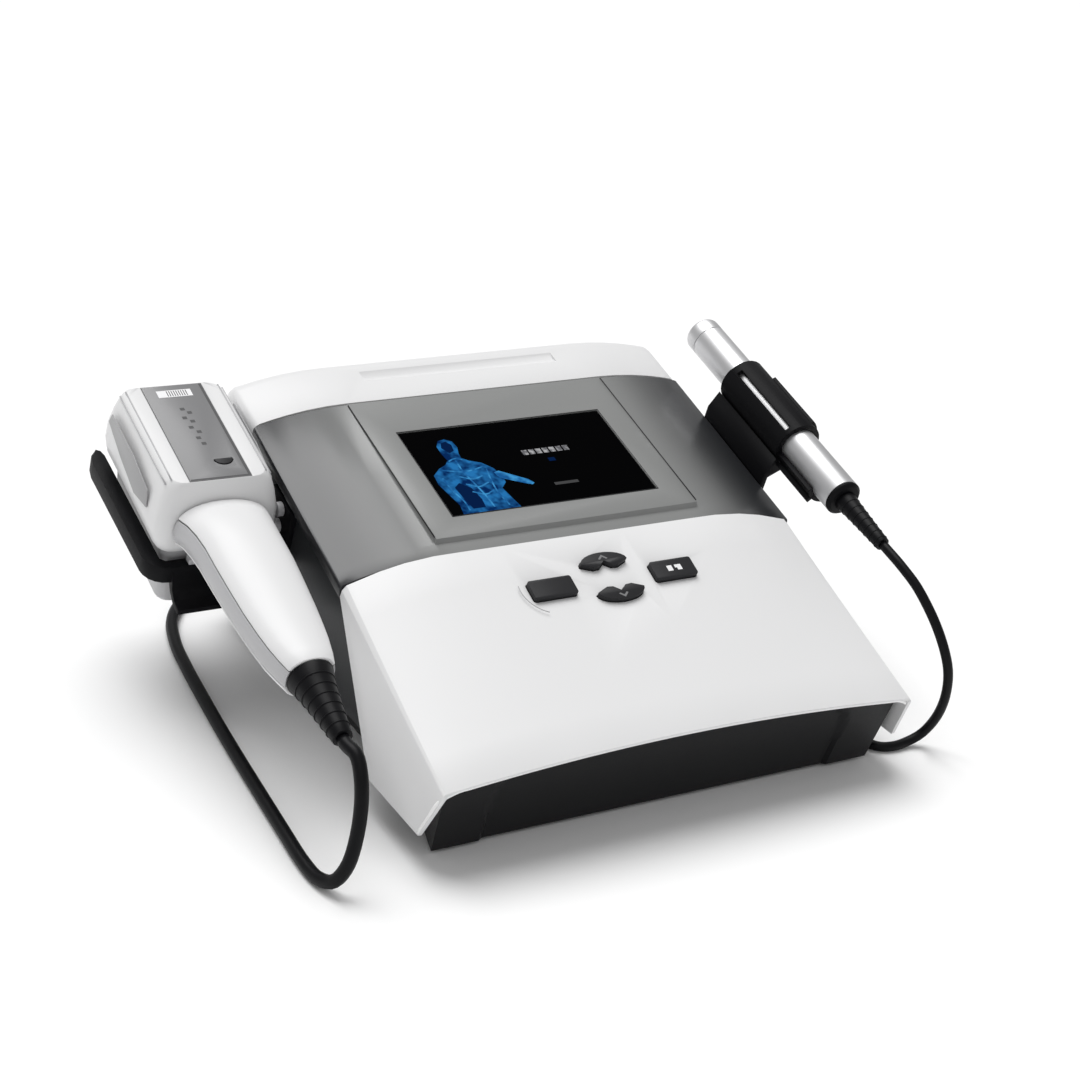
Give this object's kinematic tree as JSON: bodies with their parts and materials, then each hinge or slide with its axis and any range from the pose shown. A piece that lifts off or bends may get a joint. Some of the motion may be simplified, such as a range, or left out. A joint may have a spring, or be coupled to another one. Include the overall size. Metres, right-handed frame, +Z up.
{
  "type": "ultrasound therapy device",
  "caption": "Desktop physiotherapy ultrasound console with sloping display panel and keys, a large applicator resting in a side cradle and a slim probe in a side clip, each on its own lead.",
  "frame": {"origin": "on the table, under the middle of the footprint that the console and its two side holders cover together, leads left out", "axes": "+X to the operator's right, +Y to the rear, +Z up; the screen faces -Y and up"},
  "size_m": [0.4709, 0.4816, 0.2032],
  "materials": {
    "white_shell": "satin white moulded plastic",
    "black_base": "near-black moulded plastic",
    "panel_grey": "glossy mid-grey display panel",
    "side_grey": "dark grey moulded plastic",
    "screen_black": "black screen glass",
    "key_rubber": "dark soft key",
    "holder_black": "black satin plastic",
    "label_grey": "grey membrane label",
    "light_grey": "light grey plastic",
    "aluminium": "satin aluminium",
    "steel": "bright steel",
    "lead_rubber": "black satin cable rubber",
    "board_green": "green circuit board",
    "ceramic": "off-white ceramic",
    "foot_rubber": "soft black rubber"
  },
  "bodies": {
    "console": {"front_hood": "white_shell", "display_bezel": "panel_grey", "screen_glass": "screen_black", "lcd_module": "steel", "rear_shell": "white_shell", "side_cover_left": "side_grey", "side_cover_right": "side_grey", "base_tray": "black_base", "front_base": "black_base", "foot_front_left": "foot_rubber", "foot_front_right": "foot_rubber", "foot_rear_left": "foot_rubber", "foot_rear_right": "foot_rubber", "key_board": "board_green", "main_board": "board_green", "generator_board": "board_green", "heatsink": "aluminium", "power_supply": "steel", "rear_panel": "side_grey", "applicator_socket": "steel", "probe_socket": "steel", "mains_inlet": "holder_black", "cradle_fork": "holder_black", "cradle_screw_upper": "light_grey", "cradle_screw_lower": "light_grey", "cradle_pad": "light_grey", "probe_clip": "holder_black", "probe_bracket": "holder_black", "applicator_lead": "lead_rubber", "applicator_lead_coil": "lead_rubber", "applicator_lead_tail": "lead_rubber", "applicator_plug": "holder_black", "probe_lead": "lead_rubber", "probe_lead_coil": "lead_rubber", "probe_lead_tail": "lead_rubber", "probe_plug": "holder_black"},
    "applicator": {"head_upper_shell": "white_shell", "head_lower_shell": "light_grey", "treatment_face": "aluminium", "piezo_disc": "ceramic", "applicator_board": "board_green", "head_label": "label_grey", "head_inlay_left": "light_grey", "head_inlay_right": "light_grey", "handle_upper_shell": "white_shell", "handle_lower_shell": "white_shell", "handle_band_left": "light_grey", "handle_band_right": "light_grey", "applicator_strain_relief": "lead_rubber"},
    "probe": {"probe_barrel": "aluminium", "probe_face": "aluminium", "probe_piezo": "ceramic", "probe_end_cap": "holder_black", "probe_strain_relief": "lead_rubber"},
    "key_menu": {"key_menu": "key_rubber"},
    "key_start": {"key_start": "key_rubber"},
    "key_up": {"key_up": "key_rubber"},
    "key_down": {"key_down": "key_rubber"},
    "applicator_key": {"start_key": "key_rubber"},
    "mains_switch": {"power_switch": "key_rubber"}
  },
  "joints": [
    {"name": "key_menu_press", "type": "slide", "parent": "console", "child": "key_menu", "axis": [0, 0.3987, -0.9171], "range_m": [0, 0.0012], "stiffness_N_per_m": 900},
    {"name": "key_start_press", "type": "slide", "parent": "console", "child": "key_start", "axis": [0, 0.3987, -0.9171], "range_m": [0, 0.0012], "stiffness_N_per_m": 900},
    {"name": "key_up_press", "type": "slide", "parent": "console", "child": "key_up", "axis": [0, 0.3987, -0.9171], "range_m": [0, 0.0012], "stiffness_N_per_m": 900},
    {"name": "key_down_press", "type": "slide", "parent": "console", "child": "key_down", "axis": [0, 0.3987, -0.9171], "range_m": [0, 0.0012], "stiffness_N_per_m": 900},
    {"name": "applicator_lift", "type": "slide", "parent": "console", "child": "applicator", "axis": [0, -0.2639, 0.9646], "range_m": [0, 0.14]},
    {"name": "applicator_key_press", "type": "slide", "parent": "applicator", "child": "applicator_key", "axis": [0, 0.2639, -0.9646], "range_m": [0, 0.0008], "stiffness_N_per_m": 900},
    {"name": "probe_pull", "type": "slide", "parent": "console", "child": "probe", "axis": [0, 0.9646, 0.2639], "range_m": [0, 0.145]},
    {"name": "mains_switch_rock", "type": "hinge", "parent": "console", "child": "mains_switch", "pos_m": [0.1059, 0.1642, 0.062], "axis": [1, 0, 0], "range_deg": [0, 10]}
  ]
}
